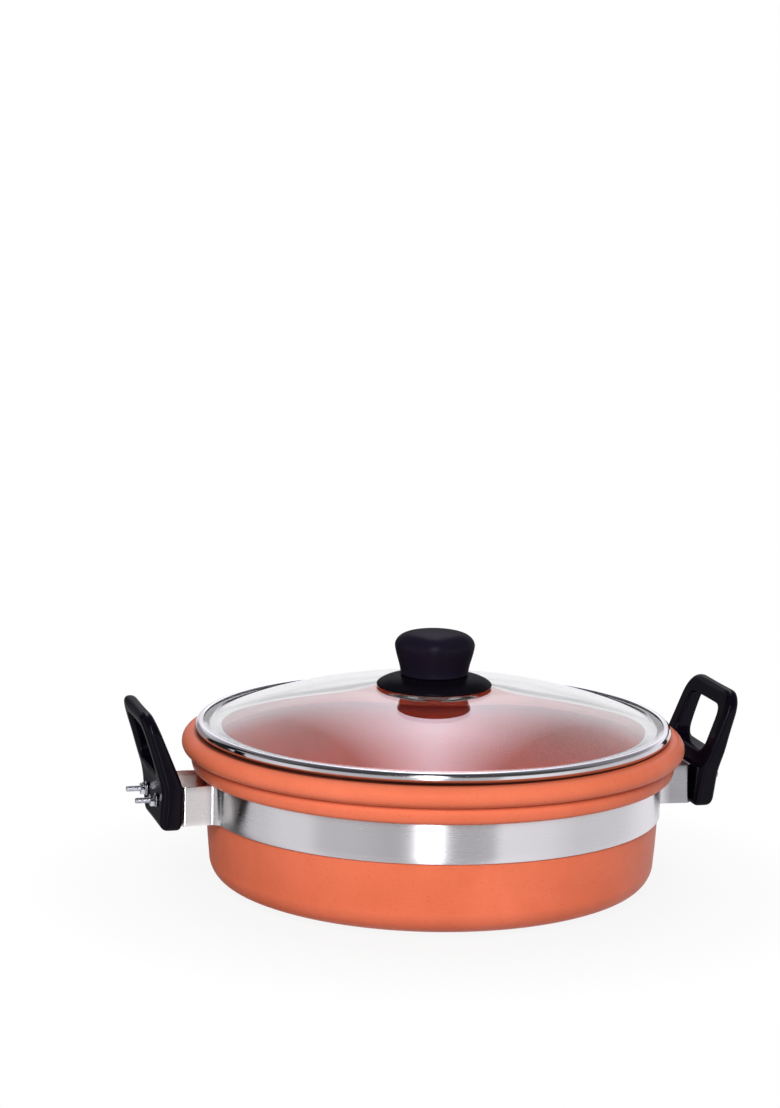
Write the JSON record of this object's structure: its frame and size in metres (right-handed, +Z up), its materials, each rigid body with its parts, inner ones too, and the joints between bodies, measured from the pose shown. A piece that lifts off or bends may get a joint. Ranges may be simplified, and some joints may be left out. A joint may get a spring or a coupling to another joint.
{
  "type": "clay kadai",
  "caption": "Shallow round terracotta cooking pan with a steel belt, black loop handles at the sides and a domed glass lid with a black knob.",
  "frame": {"origin": "centre of the flat base of the clay pan", "axes": "+X towards the right handle, -Y towards the front, +Z up through the knob"},
  "size_m": [0.3102, 0.254, 0.1301],
  "materials": {
    "terracotta": "unglazed fired red clay, smooth turned surface with faint turning marks",
    "belt_steel": "bright polished strip with faint vertical streaks",
    "rim_steel": "bright polished rolled rim",
    "handle_black": "black moulded thermoset, satin gloss",
    "zinc_steel": "zinc plated",
    "lid_glass": "clear toughened glass",
    "knob_black": "black moulded thermoset, satin",
    "skirt_black": "black moulded thermoset, satin gloss",
    "insert_brass": "turned brass",
    "gasket_rubber": "pale grey silicone",
    "screw_steel": "stainless steel"
  },
  "bodies": {
    "pan": {"clay_pot": "terracotta", "front_belt_half": "belt_steel", "rear_belt_half": "belt_steel", "left_handle": "handle_black", "right_handle": "handle_black", "left_front_bolt": "zinc_steel", "left_front_nut": "zinc_steel", "left_front_washer": "zinc_steel", "left_rear_bolt": "zinc_steel", "left_rear_nut": "zinc_steel", "left_rear_washer": "zinc_steel", "right_front_bolt": "zinc_steel", "right_front_nut": "zinc_steel", "right_front_washer": "zinc_steel", "right_rear_bolt": "zinc_steel", "right_rear_nut": "zinc_steel", "right_rear_washer": "zinc_steel"},
    "lid": {"lid_ring": "rim_steel", "lid_glass": "lid_glass", "knob": "knob_black", "knob_skirt": "skirt_black", "knob_insert": "insert_brass", "knob_gasket": "gasket_rubber", "knob_washer": "screw_steel", "knob_screw": "screw_steel"}
  },
  "joints": [
    {"name": "lid_lift", "type": "slide", "parent": "pan", "child": "lid", "axis": [0, 0, 1], "range_m": [0, 0.12]}
  ]
}
